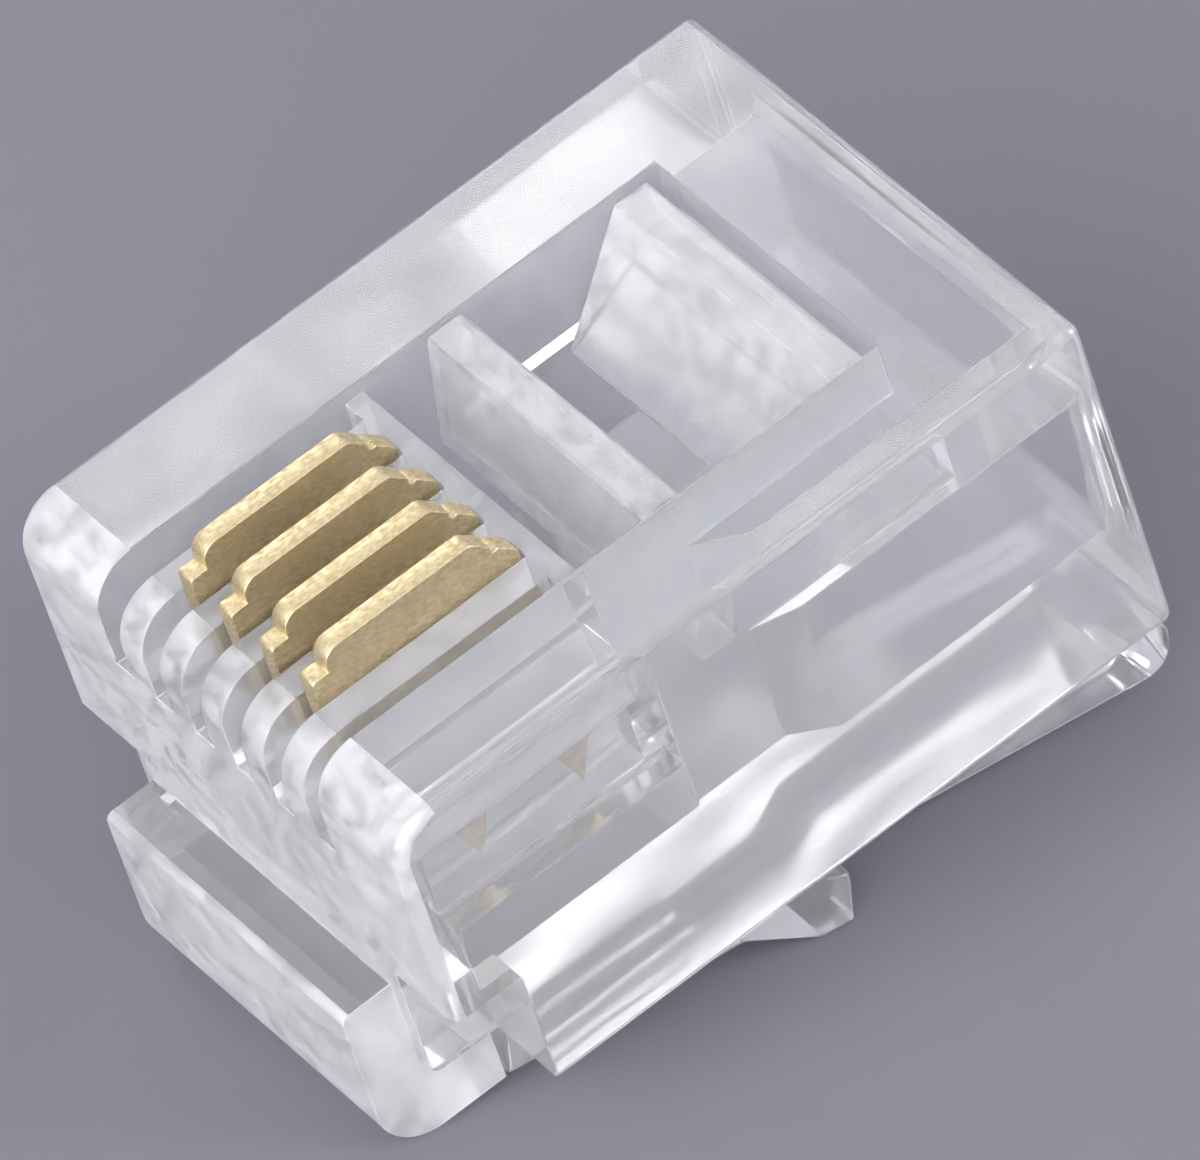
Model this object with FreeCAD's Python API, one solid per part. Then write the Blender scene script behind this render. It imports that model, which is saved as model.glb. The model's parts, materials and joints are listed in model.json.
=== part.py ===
"""Six-position modular plug, uncrimped, with four contact blades fitted.

The plug is drawn in its own axes: X across the plug from its middle plane, Y from the nose face
towards the cable end, Z from the latch-side face up to the contact side. At the end everything is
turned about X by the rest pitch, so that the plug lies on its latch as it does when put down.
"""
import FreeCAD
import Part

import math
import os

from FreeCAD import Vector

# Body moulding, millimetres
body_width = 9.65
body_height = 6.60
body_length = 13.10
nose_radius = 0.85
edge_radius = 0.20

# Lower front corners, cut back beside the latch root
corner_notch_depth = 1.25
corner_notch_height = 2.40
corner_notch_width = 1.55

# Contact comb behind the nose
position_count = 6
fitted_positions = (2, 3, 4, 5)
contact_pitch = 1.02
comb_drop = 0.25
comb_back_wall = 0.35
slot_clearance = 0.05
slot_sill_drop = 1.85

# Contact blade, standing proud because the plug is not crimped yet
blade_thickness = 0.35
blade_start = 1.00
blade_length = 3.80
blade_height = 3.80
blade_proud = 0.60
crown_front_radius = 0.28
crown_back_radius = 0.20
front_lug_length = 0.32
front_lug_drop = 0.40
back_slope_length = 0.70
back_slope_drop = 0.70
pilot_notch_radius = 0.08
blade_corner_radius = 0.08
tine_count = 2
tine_length = 1.25
tine_root = 1.00
crimp_travel = 1.18
tine_floor_clearance = 0.12

# Wire channels under the blades
channel_width = 0.84
channel_height = 0.95
channel_start = 0.90

# Open well behind the comb and the cable inlet behind it
well_end = 10.85
funnel_start = 6.90
funnel_end = 7.70
inlet_width = 6.60
inlet_height = 2.70
inlet_floor = 1.80
mouth_radius = 0.45

# Conductor anchor, a bar that is pressed down on the wires
anchor_clearance = 0.04
anchor_edge_radius = 0.08
conductor_anchor_start = 6.40
conductor_anchor_length = 0.70
conductor_anchor_drop = 0.05
conductor_anchor_height = 2.10
conductor_anchor_lean = 0.35

# Jacket anchor, a wedge that tilts down on the cable's jacket
jacket_anchor_drop = 0.15
jacket_anchor_top = 0.63
jacket_anchor_gap = 0.13
jacket_anchor_height = 1.83
jacket_anchor_lean = 0.12
jacket_anchor_reach = 2.30
jacket_anchor_toe_drop = 0.32

# Latch: a fixed toe on the nose and a lever on a living hinge
latch_width = 6.02
tail_width = 3.25
toe_ahead = 0.95
toe_top = 1.95
toe_drop = 1.32
toe_radius = 1.00
toe_edge_radius = 0.15
lever_thickness = 1.00
lever_incline = 11.0
hinge_start = 1.35
hinge_gap = 0.03
ramp_start = 4.38
ramp_end = 5.75
shoulder_end = 6.37
shoulder_drop = 0.72
shoulder_radius = 0.15
tail_end = 13.40
tail_thickness = 0.97
tail_low_radius = 0.45
tail_high_radius = 0.30

# Worked out from the dimensions above
half_width = body_width / 2
slot_width = blade_thickness + 2 * slot_clearance
well_half_width = ((position_count - 1) * contact_pitch + slot_width) / 2
notch_half_width = half_width - corner_notch_width
blade_end = blade_start + blade_length
slot_end = blade_end + slot_clearance
comb_length = slot_end + comb_back_wall
comb_top = body_height - comb_drop
slot_sill = body_height - slot_sill_drop
crown_level = body_height + blade_proud
tine_tip_level = crown_level - blade_height
wire_floor = tine_tip_level - crimp_travel - tine_floor_clearance
inlet_half_width = inlet_width / 2
inlet_ceiling = inlet_floor + inlet_height
anchor_half_width = well_half_width - anchor_clearance
hinge_level = lever_thickness / 2 - toe_drop
incline = math.radians(lever_incline)
ahead_of_all = 2 * toe_ahead
above_all = 2 * body_height
behind_all = 2 * body_length


def rounded_face(corners):
    """Face in the YZ plane from corners given as (y, z, radius); a radius of 0 stays sharp."""
    points = [Vector(0, y, z) for y, z, _ in corners]
    edges = []
    spans = []
    for index, (_, _, radius) in enumerate(corners):
        here = points[index]
        to_last = (points[index - 1] - here).normalize()
        to_next = (points[(index + 1) % len(points)] - here).normalize()
        half_angle = to_last.getAngle(to_next) / 2
        reach = radius / math.tan(half_angle)
        start = here + to_last * reach
        end = here + to_next * reach
        if radius:
            bisector = (to_last + to_next).normalize()
            middle = here + bisector * (radius / math.sin(half_angle) - radius)
            edges.append(Part.Arc(start, middle, end).toShape())
        spans.append((start, end))
    for index, (_, end) in enumerate(spans):
        next_start = spans[(index + 1) % len(spans)][0]
        if (next_start - end).Length > Part.Precision.confusion():
            edges.append(Part.LineSegment(end, next_start).toShape())
    return Part.Face(Part.Wire(Part.__sortEdges__(edges)))


def across(face, half):
    """Solid made by drawing a YZ face out to both sides of the middle plane."""
    solid = face.extrude(Vector(2 * half, 0, 0))
    solid.translate(Vector(-half, 0, 0))
    return solid


def block(x_low, x_high, y_low, y_high, z_low, z_high):
    """Box between two corners."""
    corner = Vector(x_low, y_low, z_low)
    return Part.makeBox(x_high - x_low, y_high - y_low, z_high - z_low, corner)


def middle_block(half, y_low, y_high, z_low, z_high):
    """Box that reaches equally to both sides of the middle plane."""
    return block(-half, half, y_low, y_high, z_low, z_high)


def opening_wire(half, y, z_low, z_high):
    """Upright rectangle at one Y, a station of a tapering cavity."""
    low_left = Vector(-half, y, z_low)
    low_right = Vector(half, y, z_low)
    high_right = Vector(half, y, z_high)
    high_left = Vector(-half, y, z_high)
    return Part.makePolygon([low_left, low_right, high_right, high_left, low_left])


def position_x(position):
    """X of a contact position, counted from 1 on the left."""
    return (position - (position_count + 1) / 2) * contact_pitch


def body_blank():
    """Outer form of the moulding with rounded nose and softened long edges."""
    profile = rounded_face([
        (0, 0, edge_radius),
        (body_length, 0, edge_radius),
        (body_length, body_height, edge_radius),
        (0, body_height, nose_radius),
    ])
    blank = across(profile, half_width)
    sides = [face for face in blank.Faces if abs(face.CenterOfMass.x) > well_half_width]
    rims = [edge for face in sides for edge in face.Edges]
    return blank.makeFillet(edge_radius, rims)


def corner_notches():
    """Cuts beside the latch root at both lower front corners."""
    right = block(
        notch_half_width, body_width, -ahead_of_all, corner_notch_depth, -ahead_of_all, corner_notch_height
    )
    left = right.mirror(Vector(0, 0, 0), Vector(1, 0, 0))
    return right.fuse(left)


def comb_cut():
    """Contact zone between the side walls, lowered to the top of the comb behind a rounded nose."""
    lowered = rounded_face([
        (-ahead_of_all, 0, 0),
        (0, 0, 0),
        (0, comb_top, nose_radius),
        (well_end, comb_top, 0),
        (well_end, above_all, 0),
        (-ahead_of_all, above_all, 0),
    ])
    return across(lowered, well_half_width)


def contact_slot():
    """Slot of one position, open through the nose above its sill, and the wire channel under it."""
    nose_slot = middle_block(slot_width / 2, -nose_radius, slot_end, slot_sill, body_height)
    channel_top = wire_floor + channel_height
    channel = middle_block(channel_width / 2, channel_start, comb_length, wire_floor, channel_top)
    return nose_slot.fuse(channel)


def blade_drop():
    """Deep part of a slot, through which a blade is pressed into the wire channel."""
    drop_start = blade_start - slot_clearance
    drop_bottom = wire_floor + channel_height / 2
    return middle_block(slot_width / 2, drop_start, slot_end, drop_bottom, body_height)


def contact_slots():
    """The slots of all positions; only those with a blade are open down to their channel."""
    slots = []
    for position in range(1, position_count + 1):
        slot = contact_slot()
        if position in fitted_positions:
            slot = slot.fuse(blade_drop())
        slot.translate(Vector(position_x(position), 0, 0))
        slots.append(slot)
    return Part.makeCompound(slots)


def cable_way():
    """Open well behind the comb, the funnel below the anchors and the flat cable inlet."""
    well = middle_block(well_half_width, comb_length, well_end, wire_floor, above_all)
    narrow = opening_wire(well_half_width, funnel_start, wire_floor, inlet_ceiling)
    wide = opening_wire(inlet_half_width, funnel_end, inlet_floor, inlet_ceiling)
    mouth = opening_wire(inlet_half_width, body_length, inlet_floor, inlet_ceiling)
    funnel = Part.makeLoft([narrow, wide], True, True)
    inlet = Part.makeLoft([wide, mouth], True, True)
    return well.fuse([funnel, inlet])


def inlet_rim(body):
    """Edges round the cable inlet on the back face."""
    rim = []
    for edge in body.Edges:
        middle = edge.CenterOfMass
        at_back = abs(middle.y - body_length) < Part.Precision.confusion()
        if at_back and abs(middle.x) <= inlet_half_width and inlet_floor <= middle.z <= inlet_ceiling:
            rim.append(edge)
    return rim


def latch_toe():
    """Root of the latch on the nose, down to the plane where the lever starts to bend."""
    root_end = hinge_start - math.sin(incline) * lever_thickness / 2 - hinge_gap
    profile = rounded_face([
        (-toe_ahead, toe_top, toe_edge_radius),
        (-toe_ahead, -toe_drop, toe_radius),
        (root_end, -toe_drop, 0),
        (root_end, toe_top, 0),
    ])
    return across(profile, latch_width / 2)


def housing():
    """The moulding's fixed part: body, comb, cable way and latch root in one solid."""
    body = body_blank().cut(corner_notches())
    body = body.cut(comb_cut())
    body = body.cut(cable_way())
    body = body.cut(contact_slots())
    body = body.fuse(latch_toe()).removeSplitter()
    return body.makeFillet(mouth_radius, inlet_rim(body))


def lever_profile():
    """Side view of the lever along its own plate: S back from the hinge, N up from the plate's middle."""
    low = -lever_thickness / 2
    high = lever_thickness / 2
    tail_low = low - shoulder_drop
    tail_high = tail_low + tail_thickness
    upper_ramp_shift = tail_thickness / 2
    return rounded_face([
        (0, low, 0),
        (ramp_start, low, shoulder_radius),
        (ramp_end, tail_low, shoulder_radius),
        (tail_end, tail_low, tail_low_radius),
        (tail_end, tail_high, tail_high_radius),
        (ramp_end + upper_ramp_shift, tail_high, shoulder_radius),
        (ramp_start + upper_ramp_shift, high, shoulder_radius),
        (0, high, 0),
    ])


def latch_lever():
    """Sprung lever: wide plate with two locking shoulders, then a narrower finger tail."""
    lever = across(lever_profile(), latch_width / 2)
    right_of_tail = block(
        tail_width / 2, latch_width, shoulder_end, behind_all, -above_all, above_all
    )
    left_of_tail = right_of_tail.mirror(Vector(0, 0, 0), Vector(1, 0, 0))
    lever = lever.cut(right_of_tail.fuse(left_of_tail))
    lever.rotate(Vector(0, 0, 0), Vector(1, 0, 0), -lever_incline)
    lever.translate(Vector(0, hinge_start, hinge_level))
    return lever


def conductor_anchor():
    """Leaning bar across the well that is pressed down on the wires."""
    top = body_height - conductor_anchor_drop
    bottom = top - conductor_anchor_height
    start = conductor_anchor_start
    end = start + conductor_anchor_length
    return across(rounded_face([
        (start, top, anchor_edge_radius),
        (end, top, anchor_edge_radius),
        (end - conductor_anchor_lean, bottom, anchor_edge_radius),
        (start - conductor_anchor_lean, bottom, anchor_edge_radius),
    ]), anchor_half_width)


def jacket_anchor():
    """Wedge across the well that tilts about its low rear edge and bites the cable's jacket."""
    top = body_height - jacket_anchor_drop
    rear_low = well_end - jacket_anchor_gap
    rear_level = top - jacket_anchor_height
    rear_top = rear_low - jacket_anchor_lean
    return across(rounded_face([
        (rear_top - jacket_anchor_top, top, anchor_edge_radius),
        (rear_top, top, anchor_edge_radius),
        (rear_low, rear_level, anchor_edge_radius),
        (rear_low - jacket_anchor_reach, rear_level - jacket_anchor_toe_drop, anchor_edge_radius),
    ]), anchor_half_width)


def tine_corners(root_level):
    """Corners of the piercing tines along a blade's lower edge, from the rear forwards."""
    spacing = blade_length / tine_count
    corners = []
    for index in range(tine_count):
        middle = blade_end - (index + 0.5) * spacing
        corners.append((middle + tine_root / 2, root_level, 0))
        corners.append((middle, tine_tip_level, 0))
        corners.append((middle - tine_root / 2, root_level, 0))
    return corners


def pilot_notch():
    """Half-round notch across the back slope, where the blade was broken from its strip."""
    middle_y = blade_end - back_slope_length / 2
    middle_z = crown_level - back_slope_drop / 2
    start = Vector(-blade_thickness, middle_y, middle_z)
    return Part.makeCylinder(pilot_notch_radius, 2 * blade_thickness, start, Vector(1, 0, 0))


def contact_blade(position):
    """Flat stamped blade: a crown with a lug ahead of it and a slope behind, piercing tines below."""
    crown_start = blade_start + front_lug_length
    crown_end = blade_end - back_slope_length
    front_lug = crown_level - front_lug_drop
    slope_foot = crown_level - back_slope_drop
    root_level = tine_tip_level + tine_length
    profile = rounded_face([
        (blade_start, front_lug, blade_corner_radius),
        (crown_start, front_lug, 0),
        (crown_start, crown_level, crown_front_radius),
        (crown_end, crown_level, crown_back_radius),
        (blade_end, slope_foot, blade_corner_radius),
        (blade_end, root_level, 0),
        *tine_corners(root_level),
        (blade_start, root_level, 0),
    ])
    blade = across(profile, blade_thickness / 2).cut(pilot_notch())
    blade.translate(Vector(position_x(position), 0, 0))
    return blade


def rest_pitch():
    """Degrees that the plug tips nose-down when its latch toe and locking shoulders lie on a table."""
    toe_y = toe_radius - toe_ahead
    toe_z = toe_radius - toe_drop
    ramp_angle = math.atan2(shoulder_drop, ramp_end - ramp_start)
    along = ramp_end + shoulder_radius * math.tan(ramp_angle / 2)
    below = shoulder_radius - lever_thickness / 2 - shoulder_drop
    shoulder_y = hinge_start + along * math.cos(incline) + below * math.sin(incline)
    shoulder_z = hinge_level - along * math.sin(incline) + below * math.cos(incline)
    distance = math.hypot(shoulder_y - toe_y, shoulder_z - toe_z)
    fall = math.atan2(toe_z - shoulder_z, shoulder_y - toe_y)
    return math.degrees(fall - math.asin((toe_radius - shoulder_radius) / distance))


def laid_down(solids):
    """The solids turned by the rest pitch, on the table Z = 0, their box centred over the origin."""
    for solid in solids.values():
        solid.rotate(Vector(0, 0, 0), Vector(1, 0, 0), rest_pitch())
    box = Part.makeCompound(list(solids.values())).optimalBoundingBox(False, False)
    for solid in solids.values():
        solid.translate(Vector(-box.Center.x, -box.Center.y, -box.ZMin))
    return solids


nodes = {
    "housing": housing(),
    "latch_lever": latch_lever(),
    "conductor_anchor": conductor_anchor(),
    "jacket_anchor": jacket_anchor(),
}
for fitted in fitted_positions:
    nodes[f"contact_blade_{fitted}"] = contact_blade(fitted)

os.makedirs("parts", exist_ok=True)
for name, shape in laid_down(nodes).items():
    shape.exportStep(os.path.join("parts", name + ".step"))
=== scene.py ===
"""Looks of a clear six position modular plug, laid out as an add-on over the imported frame."""

import json
import math

import bmesh
import bpy
from mathutils import Matrix, Vector


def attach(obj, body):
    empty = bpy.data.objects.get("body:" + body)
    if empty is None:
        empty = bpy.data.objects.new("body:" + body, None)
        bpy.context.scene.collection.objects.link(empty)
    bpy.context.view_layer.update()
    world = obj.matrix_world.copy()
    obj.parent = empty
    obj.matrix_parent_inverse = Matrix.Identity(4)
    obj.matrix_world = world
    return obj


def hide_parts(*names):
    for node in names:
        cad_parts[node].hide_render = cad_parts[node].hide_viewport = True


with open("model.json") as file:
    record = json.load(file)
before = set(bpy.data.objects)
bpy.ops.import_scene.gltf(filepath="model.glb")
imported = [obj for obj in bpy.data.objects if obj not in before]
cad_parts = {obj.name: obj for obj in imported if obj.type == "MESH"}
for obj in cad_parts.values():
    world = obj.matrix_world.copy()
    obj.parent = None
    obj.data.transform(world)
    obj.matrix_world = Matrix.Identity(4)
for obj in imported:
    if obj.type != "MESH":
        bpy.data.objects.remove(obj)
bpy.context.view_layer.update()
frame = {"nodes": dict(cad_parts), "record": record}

bl_info = {
    "name": "Six Position Modular Plug",
    "version": (1, 0, 0),
    "blender": (4, 5, 0),
    "location": "View3D > Sidebar > Modular Plug",
    "description": "Clear moulded plug with gold plated contact blades, its stage and its camera",
    "category": "Object",
}

MM = 0.001
MERGE_WITHIN = 0.0002 * MM
FLAT_WITHIN = math.radians(0.5)
CREASE = math.radians(28)
ROUNDING_STEPS = 2

# The attribute that says how frosted a face is, and its value on the frosted regions.
FROSTED = "frosted"
NOSE_FROST = 0.7
COMB_FROST = 0.2
ANCHOR_FROST = 0.34

# The frosted regions of the housing, measured from the plane and the middle of the nose.
NOSE_DEPTH = 0.9 * MM
NOSE_PLANE_WITHIN = 0.02 * MM
TOE_SIDE_NORMAL = 0.4
COMB_HALF_WIDTH = 2.78 * MM
COMB_DEPTH = 5.3 * MM
COMB_FLOOR_HEIGHT = 0.8 * MM

# The stage. A softbox is given by the side of its square and its place.
FLOOR_HALF_SIDE = 600 * MM
KEY_SIDE, KEY_PLACE = 120 * MM, (-196.7 * MM, 15.1 * MM, 147.5 * MM)
BACK_SIDE, BACK_PLACE = 140 * MM, (150 * MM, 150 * MM, 160 * MM)
FILL_SIDE, FILL_PLACE = 260 * MM, (105 * MM, -195 * MM, 95 * MM)
SOFTBOX_AIM = (0.0, 0.0, 4 * MM)
CAMERA_AIM = (-2.410 * MM, 0.569 * MM, 3.451 * MM)
CAMERA_SENSOR_WIDTH = 36.0


def linear(hex_colour):
    """Linear red, green and blue of an sRGB hex colour."""
    channels = [int(hex_colour[i : i + 2], 16) / 255 for i in (1, 3, 5)]
    return tuple(c / 12.92 if c <= 0.04045 else ((c + 0.055) / 1.055) ** 2.4 for c in channels)


class MouldingSettings(bpy.types.PropertyGroup):
    """Sizes and finish of the clear moulding."""

    edge_round: bpy.props.FloatProperty(
        name="Edge rounding",
        description="Radius of the softened edges of the moulding",
        default=0.07 * MM,
        min=0.0,
        subtype="DISTANCE",
        unit="LENGTH",
    )
    bar_edge_round: bpy.props.FloatProperty(
        name="Anchor edge rounding",
        description="Radius of the softened ends of the two anchor bars",
        default=0.06 * MM,
        min=0.0,
        subtype="DISTANCE",
        unit="LENGTH",
    )
    tint: bpy.props.FloatVectorProperty(
        name="Plastic tint",
        description="Colour that the clear plastic gives to light on its way through",
        default=linear("#FDFDFF"),
        min=0.0,
        max=1.0,
        size=3,
        subtype="COLOR",
    )
    haze: bpy.props.FloatProperty(
        name="Haze",
        description="Share of the light that the plastic scatters in each millimetre",
        default=0.09,
        min=0.0,
    )
    clearness: bpy.props.FloatProperty(
        name="Clearness",
        description="Share of the light that goes through a polished face",
        default=0.955,
        min=0.0,
        max=1.0,
        subtype="FACTOR",
    )
    frosted_clearness: bpy.props.FloatProperty(
        name="Frosted clearness",
        description="Share of the light that goes through the frosted comb, nose and anchors",
        default=0.75,
        min=0.0,
        max=1.0,
        subtype="FACTOR",
    )


class BladeSettings(bpy.types.PropertyGroup):
    """Sizes and finish of the contact blades."""

    edge_round: bpy.props.FloatProperty(
        name="Stamped edge",
        description="Radius that stamping and plating leave on the edges of a blade",
        default=0.03 * MM,
        min=0.0,
        subtype="DISTANCE",
        unit="LENGTH",
    )
    gold: bpy.props.FloatVectorProperty(
        name="Gold plating",
        description="Colour of the gold plating",
        default=linear("#DFD0AA"),
        min=0.0,
        max=1.0,
        size=3,
        subtype="COLOR",
    )
    drag: bpy.props.FloatVectorProperty(
        name="Drag marks",
        description="Colour of the plating in the marks that stamping leaves",
        default=linear("#C2B08A"),
        min=0.0,
        max=1.0,
        size=3,
        subtype="COLOR",
    )


class StageSettings(bpy.types.PropertyGroup):
    """Floor, light and camera."""

    floor: bpy.props.FloatVectorProperty(
        name="Floor",
        description="Colour of the plain floor",
        default=linear("#696971"),
        min=0.0,
        max=1.0,
        size=3,
        subtype="COLOR",
    )
    room_light: bpy.props.FloatProperty(
        name="Room light",
        description="Brightness of the even light from all round",
        default=0.72,
        min=0.0,
    )
    key_light: bpy.props.FloatProperty(
        name="Key light",
        description="Brightness of the softbox up to the left of the plug",
        default=3.5,
        min=0.0,
    )
    back_light: bpy.props.FloatProperty(
        name="Back light",
        description="Brightness of the softbox up behind the right of the cable end",
        default=8.0,
        min=0.0,
    )
    fill_light: bpy.props.FloatProperty(
        name="Fill light",
        description="Brightness of the softbox low ahead of the nose",
        default=8.8,
        min=0.0,
    )
    camera_distance: bpy.props.FloatProperty(
        name="Camera distance",
        description="From the camera to the point that it looks at",
        default=333.5 * MM,
        min=0.0,
        subtype="DISTANCE",
        unit="LENGTH",
    )
    camera_azimuth: bpy.props.FloatProperty(
        name="Camera azimuth",
        description="Turn of the camera round the plug, 0 looking along its length from the nose",
        default=math.radians(55.155),
        subtype="ANGLE",
        unit="ROTATION",
    )
    camera_elevation: bpy.props.FloatProperty(
        name="Camera elevation",
        description="Angle of the camera above the floor",
        default=math.radians(38.967),
        subtype="ANGLE",
        unit="ROTATION",
    )
    camera_roll: bpy.props.FloatProperty(
        name="Camera roll",
        description="Tilt of the camera about its own line of sight",
        default=math.radians(-2.166),
        subtype="ANGLE",
        unit="ROTATION",
    )
    camera_lens: bpy.props.FloatProperty(
        name="Camera lens",
        description="Focal length in millimetres on a 36 mm sensor",
        default=667.4,
        min=1.0,
    )


class PlugSettings(bpy.types.PropertyGroup):
    """All settings of the plug."""

    moulding: bpy.props.PointerProperty(type=MouldingSettings)
    blades: bpy.props.PointerProperty(type=BladeSettings)
    stage: bpy.props.PointerProperty(type=StageSettings)


def add_node(tree, kind, inputs=None, **settings):
    """Adds one shader node; inputs are set, or linked where a socket is given."""
    made = tree.nodes.new(kind)
    for name, value in settings.items():
        setattr(made, name, value)
    for name, value in (inputs or {}).items():
        if isinstance(value, bpy.types.NodeSocket):
            tree.links.new(value, made.inputs[name])
        else:
            made.inputs[name].default_value = value
    return made


def new_material(name):
    """An empty node material, with its tree."""
    material = bpy.data.materials.new(name)
    material.use_nodes = True
    material.node_tree.nodes.clear()
    return material, material.node_tree


def clear_polycarbonate(settings):
    """Injection moulded clear polycarbonate.

    See-through with bright edges, and a faint haze that makes the thicker parts whiter. The polished
    faces are glossy, with the slow waves that the flow of the melt leaves in them. The faces that come
    from spark eroded parts of the mould, which each piece marks in its frosted attribute, scatter the
    light on fine pits.
    """
    found = bpy.data.materials.get("moulded_clear_polycarbonate")
    if found:
        return found
    material, tree = new_material("moulded_clear_polycarbonate")
    place = add_node(tree, "ShaderNodeTexCoord").outputs["Object"]
    frosted = add_node(tree, "ShaderNodeAttribute", attribute_name=FROSTED).outputs["Fac"]
    refractive_index = 1.586
    polished_roughness, frosted_roughness = 0.06, 0.56
    flow_wave, flow_height = 1.6 * MM, 0.02 * MM
    flow = add_node(
        tree,
        "ShaderNodeTexNoise",
        {"Vector": place, "Scale": 1 / flow_wave, "Detail": 0.0},
    )
    waves = add_node(
        tree,
        "ShaderNodeBump",
        {"Strength": 0.35, "Distance": flow_height, "Height": flow.outputs["Fac"]},
    )
    # The pits are a few hundredths of a millimetre apart, and are drawn coarser so that they show.
    pit_spacing = 0.35 * MM
    mottle_spread = 0.13
    pits = add_node(
        tree,
        "ShaderNodeTexNoise",
        {"Vector": place, "Scale": 1 / pit_spacing, "Detail": 3.0},
    )
    mottle = add_node(
        tree,
        "ShaderNodeMapRange",
        {
            "Value": pits.outputs["Fac"],
            "From Min": 0.35,
            "From Max": 0.65,
            "To Min": settings.frosted_clearness - mottle_spread,
            "To Max": settings.frosted_clearness + mottle_spread,
        },
    )
    clearness = add_node(
        tree,
        "ShaderNodeMapRange",
        {"Value": frosted, "To Min": settings.clearness, "To Max": mottle.outputs["Result"]},
    )
    roughness = add_node(
        tree,
        "ShaderNodeMapRange",
        {"Value": frosted, "To Min": polished_roughness, "To Max": frosted_roughness},
    )
    surface = add_node(
        tree,
        "ShaderNodeBsdfPrincipled",
        {
            "Base Color": (*settings.tint, 1.0),
            "Roughness": roughness.outputs["Result"],
            "IOR": refractive_index,
            "Transmission Weight": clearness.outputs["Result"],
            "Normal": waves.outputs["Normal"],
        },
    )
    haze = add_node(
        tree,
        "ShaderNodeVolumeScatter",
        {"Color": (*settings.tint, 1.0), "Density": settings.haze / MM, "Anisotropy": 0.0},
    )
    add_node(
        tree,
        "ShaderNodeOutputMaterial",
        {"Surface": surface.outputs["BSDF"], "Volume": haze.outputs["Volume"]},
    )
    return material


def gold_plate(settings):
    """Gold plating over stamped phosphor bronze.

    Pale warm metal with a soft sheen, speckled with the darker and duller drag marks of the stamping.
    """
    found = bpy.data.materials.get("gold_plated_phosphor_bronze")
    if found:
        return found
    material, tree = new_material("gold_plated_phosphor_bronze")
    place = add_node(tree, "ShaderNodeTexCoord").outputs["Object"]
    # The marks are about a hundredth of a millimetre apart, and are drawn coarser so that they show.
    drag_spacing, drag_height = 0.06 * MM, 0.008 * MM
    lengthwise_stretch = 0.45
    along = add_node(
        tree,
        "ShaderNodeMapping",
        {"Vector": place, "Scale": (1.0, lengthwise_stretch, 1.0)},
    )
    drag = add_node(
        tree,
        "ShaderNodeTexNoise",
        {"Vector": along.outputs["Vector"], "Scale": 1 / drag_spacing, "Detail": 2.0},
    )
    dullness = add_node(
        tree,
        "ShaderNodeMapRange",
        {"Value": drag.outputs["Fac"], "From Min": 0.3, "From Max": 0.7, "To Min": 0.4, "To Max": 0.65},
    )
    bump = add_node(
        tree,
        "ShaderNodeBump",
        {"Strength": 0.4, "Distance": drag_height, "Height": drag.outputs["Fac"]},
    )
    shade = add_node(tree, "ShaderNodeValToRGB", {"Fac": drag.outputs["Fac"]})
    pale, dark = shade.color_ramp.elements
    pale.position, dark.position = 0.35, 0.65
    pale.color, dark.color = (*settings.gold, 1.0), (*settings.drag, 1.0)
    surface = add_node(
        tree,
        "ShaderNodeBsdfPrincipled",
        {
            "Base Color": shade.outputs["Color"],
            "Metallic": 1.0,
            "Roughness": dullness.outputs["Result"],
            "Normal": bump.outputs["Normal"],
        },
    )
    add_node(tree, "ShaderNodeOutputMaterial", {"Surface": surface.outputs["BSDF"]})
    return material


def nose_depth_and_height(point):
    """How far a point lies behind the plane of the plug's nose, and above the middle of the nose."""
    nose = next(mount for mount in frame["record"]["mounts"] if mount["name"] == "jack_nose")
    ahead = Vector(nose["axis"])
    up = ahead.cross(Vector((1.0, 0.0, 0.0)))
    offset = point - Vector(nose["pos_m"])
    return -offset.dot(ahead), offset.dot(up)


def housing_frost(face):
    """How frosted a face of the housing is: most at the nose and the toe, a little in the comb."""
    middle = face.calc_center_median()
    depth, height = nose_depth_and_height(middle)
    # A face looks forward if a millimetre along its normal lies nearer the front.
    outside_depth, _ = nose_depth_and_height(middle + face.normal * MM)
    front = outside_depth < depth - NOSE_PLANE_WITHIN and depth < NOSE_DEPTH
    toe_side = depth < -NOSE_PLANE_WITHIN and abs(face.normal.x) > TOE_SIDE_NORMAL
    comb = abs(middle.x) < COMB_HALF_WIDTH and depth < COMB_DEPTH and height > COMB_FLOOR_HEIGHT
    if front or toe_side:
        return NOSE_FROST
    return COMB_FROST if comb else 0.0


def anchor_frost(face):
    """How frosted a face of an anchor is: the same all over, less than the nose."""
    return ANCHOR_FROST


def no_frost(face):
    """A polished face."""
    return 0.0


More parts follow.
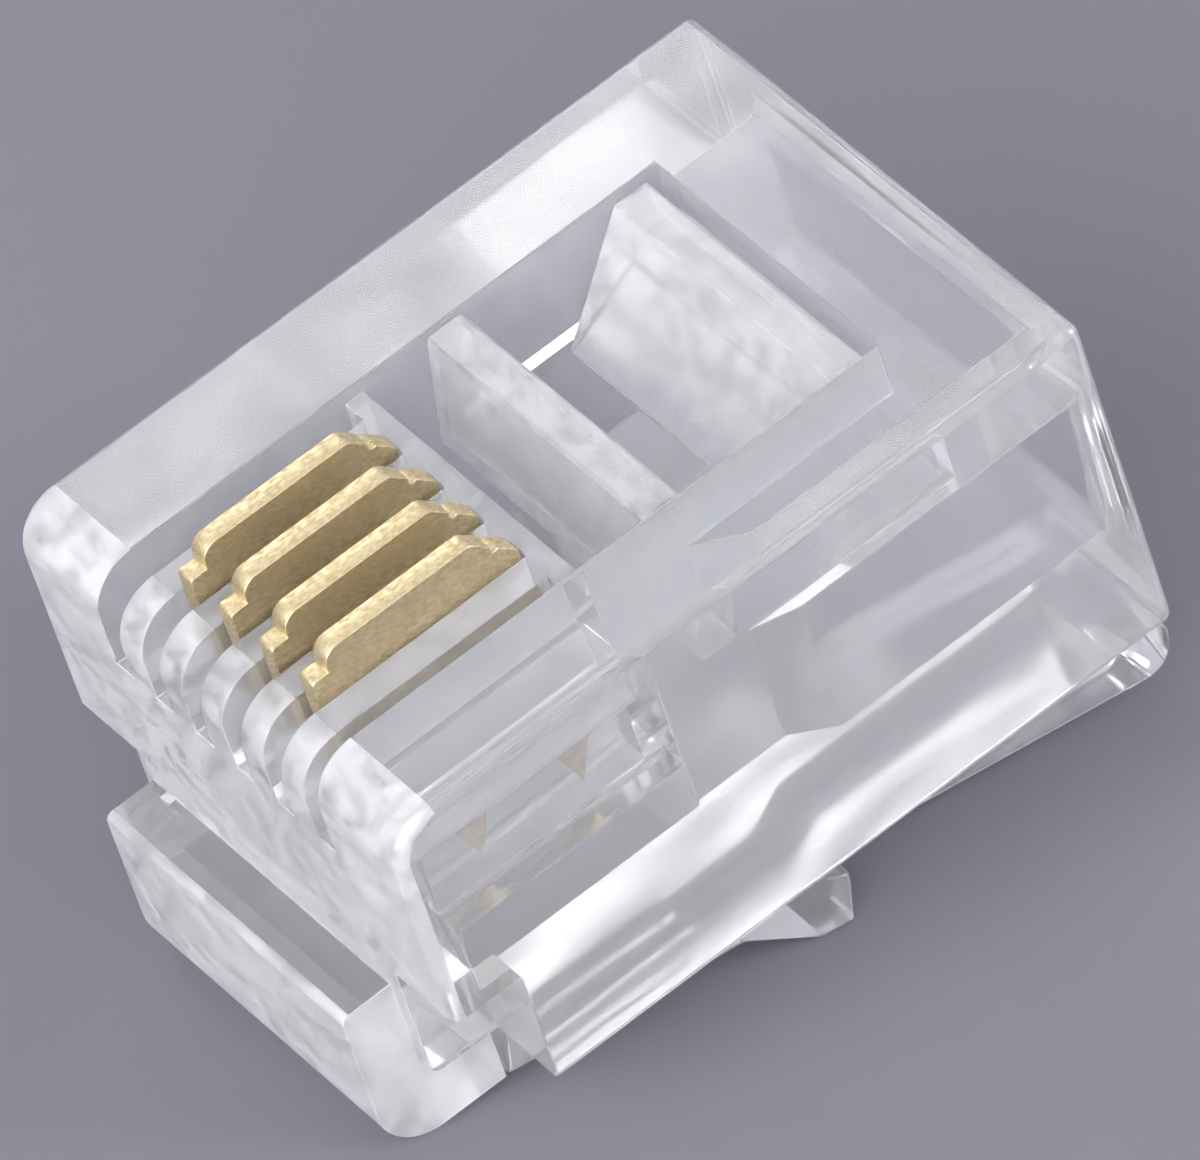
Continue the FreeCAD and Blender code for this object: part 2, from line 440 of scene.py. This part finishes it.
def rounded_copy(node_name, piece_name, edge_round, frost=no_frost):
    """A copy of a CAD node with its facets joined, its sharp edges rounded and its frosted faces marked."""
    shape = bmesh.new()
    shape.from_mesh(frame["nodes"][node_name].data)
    bmesh.ops.remove_doubles(shape, verts=shape.verts, dist=MERGE_WITHIN)
    bmesh.ops.dissolve_limit(shape, angle_limit=FLAT_WITHIN, verts=shape.verts, edges=shape.edges)
    sharp = [edge for edge in shape.edges if edge.calc_face_angle(0.0) > CREASE]
    bmesh.ops.bevel(
        shape,
        geom=sharp,
        offset=edge_round,
        offset_type="OFFSET",
        segments=ROUNDING_STEPS,
        profile=0.5,
        affect="EDGES",
        clamp_overlap=True,
        material=-1,
    )
    mark = shape.faces.layers.float.new(FROSTED)
    for face in shape.faces:
        face[mark] = frost(face)
    mesh = bpy.data.meshes.new(piece_name)
    shape.to_mesh(mesh)
    shape.free()
    mesh.shade_smooth()
    piece = bpy.data.objects.new(piece_name, mesh)
    bpy.context.scene.collection.objects.link(piece)
    normals = piece.modifiers.new("Flat faces stay flat", "WEIGHTED_NORMAL")
    normals.keep_sharp = True
    return piece


def fit_piece(piece, node_name, body_name, material):
    """Puts a finished piece in a node's place, on its body and in its finish."""
    piece.data.materials.append(material)
    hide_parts(node_name)
    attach(piece, body_name)


class PLUG_OT_mould_housing(bpy.types.Operator):
    """Makes the clear housing with its comb, well and cable inlet"""

    bl_idname = "plug.mould_housing"
    bl_label = "Mould Housing"

    def execute(self, context):
        moulding = context.scene.plug.moulding
        piece = rounded_copy("housing", "housing_moulding", moulding.edge_round, housing_frost)
        fit_piece(piece, "housing", "body", clear_polycarbonate(moulding))
        return {"FINISHED"}


class PLUG_OT_mould_latch(bpy.types.Operator):
    """Makes the sprung latch with its locking shoulders and finger tail"""

    bl_idname = "plug.mould_latch"
    bl_label = "Mould Latch"

    def execute(self, context):
        moulding = context.scene.plug.moulding
        piece = rounded_copy("latch_lever", "latch_moulding", moulding.edge_round)
        fit_piece(piece, "latch_lever", "latch", clear_polycarbonate(moulding))
        return {"FINISHED"}


class PLUG_OT_mould_anchors(bpy.types.Operator):
    """Makes the conductor bar and the jacket wedge that a crimp presses down"""

    bl_idname = "plug.mould_anchors"
    bl_label = "Mould Anchors"

    def execute(self, context):
        moulding = context.scene.plug.moulding
        plastic = clear_polycarbonate(moulding)
        bar_round = moulding.bar_edge_round
        bar = rounded_copy("conductor_anchor", "conductor_bar", bar_round, anchor_frost)
        fit_piece(bar, "conductor_anchor", "conductor_clamp", plastic)
        wedge = rounded_copy("jacket_anchor", "jacket_wedge", bar_round, anchor_frost)
        fit_piece(wedge, "jacket_anchor", "jacket_clamp", plastic)
        return {"FINISHED"}


class PLUG_OT_stamp_blades(bpy.types.Operator):
    """Makes the gold plated contact blades"""

    bl_idname = "plug.stamp_blades"
    bl_label = "Stamp Blades"

    def execute(self, context):
        blades = context.scene.plug.blades
        metal = gold_plate(blades)
        for node_name in sorted(frame["nodes"]):
            if node_name.startswith("contact_blade_"):
                position = node_name.rsplit("_", 1)[1]
                piece = rounded_copy(node_name, f"stamped_blade_{position}", blades.edge_round)
                fit_piece(piece, node_name, f"contact_{position}", metal)
        return {"FINISHED"}


def add_softbox(name, brightness, side, place):
    """A square lit panel at a place, turned to the plug and out of the camera's sight.

    It is not sampled as a light, because rays aimed at it from inside the clear plastic only cost time.
    """
    place = Vector(place)
    turn = (Vector(SOFTBOX_AIM) - place).to_track_quat("-Z", "Y").to_matrix().to_4x4()
    shape = bmesh.new()
    placing = Matrix.Translation(place) @ turn
    bmesh.ops.create_grid(shape, x_segments=1, y_segments=1, size=side / 2, matrix=placing)
    mesh = bpy.data.meshes.new(name)
    shape.to_mesh(mesh)
    shape.free()
    material, tree = new_material(name)
    cloth = add_node(tree, "ShaderNodeEmission", {"Strength": brightness})
    add_node(tree, "ShaderNodeOutputMaterial", {"Surface": cloth.outputs["Emission"]})
    material.cycles.emission_sampling = "NONE"
    mesh.materials.append(material)
    panel = bpy.data.objects.new(name, mesh)
    panel.visible_camera = False
    bpy.context.scene.collection.objects.link(panel)


class PLUG_OT_set_stage(bpy.types.Operator):
    """Lays the floor, sets the soft light and places the camera"""

    bl_idname = "plug.set_stage"
    bl_label = "Set Stage"

    def execute(self, context):
        scene = context.scene
        stage = scene.plug.stage
        self.lay_floor(stage)
        self.light(scene, stage)
        self.place_camera(scene, stage)
        return {"FINISHED"}

    def lay_floor(self, stage):
        """A large sheet of matt paper, pale grey under the stage's light."""
        mesh = bpy.data.meshes.new("floor")
        shape = bmesh.new()
        bmesh.ops.create_grid(shape, x_segments=1, y_segments=1, size=FLOOR_HALF_SIDE)
        shape.to_mesh(mesh)
        shape.free()
        floor = bpy.data.objects.new("floor", mesh)
        bpy.context.scene.collection.objects.link(floor)
        material, tree = new_material("matt_pale_grey_paper")
        surface = add_node(
            tree,
            "ShaderNodeBsdfPrincipled",
            {"Base Color": (*stage.floor, 1.0), "Roughness": 0.9, "Specular IOR Level": 0.2},
        )
        add_node(tree, "ShaderNodeOutputMaterial", {"Surface": surface.outputs["BSDF"]})
        mesh.materials.append(material)

    def light(self, scene, stage):
        """An even room and three softboxes, with enough bounces for the clear plastic."""
        world = bpy.data.worlds.new("studio")
        world.use_nodes = True
        world.node_tree.nodes.clear()
        room = add_node(
            world.node_tree,
            "ShaderNodeBackground",
            {"Color": (*linear("#F4F5FF"), 1.0), "Strength": stage.room_light},
        )
        add_node(world.node_tree, "ShaderNodeOutputWorld", {"Surface": room.outputs["Background"]})
        world.cycles.sampling_method = "NONE"
        scene.world = world
        scene.view_settings.view_transform = "Standard"
        scene.cycles.max_bounces = 16
        scene.cycles.glossy_bounces = 10
        scene.cycles.transmission_bounces = 16
        scene.cycles.volume_bounces = 4
        add_softbox("key_softbox", stage.key_light, KEY_SIDE, KEY_PLACE)
        add_softbox("back_softbox", stage.back_light, BACK_SIDE, BACK_PLACE)
        add_softbox("fill_softbox", stage.fill_light, FILL_SIDE, FILL_PLACE)

    def place_camera(self, scene, stage):
        """A camera with a long lens, standing where the photo was taken from."""
        data = bpy.data.cameras.new("photo_camera")
        data.sensor_width = CAMERA_SENSOR_WIDTH
        data.lens = stage.camera_lens
        camera = bpy.data.objects.new("photo_camera", data)
        scene.collection.objects.link(camera)
        level = math.cos(stage.camera_elevation)
        back = Vector(
            (
                math.sin(stage.camera_azimuth) * level,
                -math.cos(stage.camera_azimuth) * level,
                math.sin(stage.camera_elevation),
            )
        )
        turn = (-back).to_track_quat("-Z", "Y").to_matrix()
        roll = Matrix.Rotation(stage.camera_roll, 3, "Z")
        place = Vector(CAMERA_AIM) + back * stage.camera_distance
        camera.matrix_world = Matrix.Translation(place) @ (turn @ roll).to_4x4()
        scene.camera = camera


class PLUG_PT_sidebar(bpy.types.Panel):
    """Settings and steps of the modular plug"""

    bl_idname = "PLUG_PT_sidebar"
    bl_label = "Modular Plug"
    bl_space_type = "VIEW_3D"
    bl_region_type = "UI"
    bl_category = "Modular Plug"

    def draw(self, context):
        plug = context.scene.plug
        for title, group in (("Moulding", plug.moulding), ("Blades", plug.blades), ("Stage", plug.stage)):
            box = self.layout.box()
            box.label(text=title)
            for name in group.bl_rna.properties.keys():
                if name not in {"rna_type", "name"}:
                    box.prop(group, name)
        for operator in operators:
            self.layout.operator(operator.bl_idname)


operators = (
    PLUG_OT_mould_housing,
    PLUG_OT_mould_latch,
    PLUG_OT_mould_anchors,
    PLUG_OT_stamp_blades,
    PLUG_OT_set_stage,
)
classes = (MouldingSettings, BladeSettings, StageSettings, PlugSettings, *operators, PLUG_PT_sidebar)


def register():
    """Makes the settings, the operators and the panel known to Blender."""
    for item in classes:
        bpy.utils.register_class(item)
    bpy.types.Scene.plug = bpy.props.PointerProperty(type=PlugSettings)


def unregister():
    """Takes the settings, the operators and the panel away again."""
    del bpy.types.Scene.plug
    for item in reversed(classes):
        bpy.utils.unregister_class(item)


def main():
    """Builds the plug and its stage."""
    register()
    bpy.ops.plug.mould_housing()
    bpy.ops.plug.mould_latch()
    bpy.ops.plug.mould_anchors()
    bpy.ops.plug.stamp_blades()
    bpy.ops.plug.set_stage()


if __name__ == "__main__":
    main()
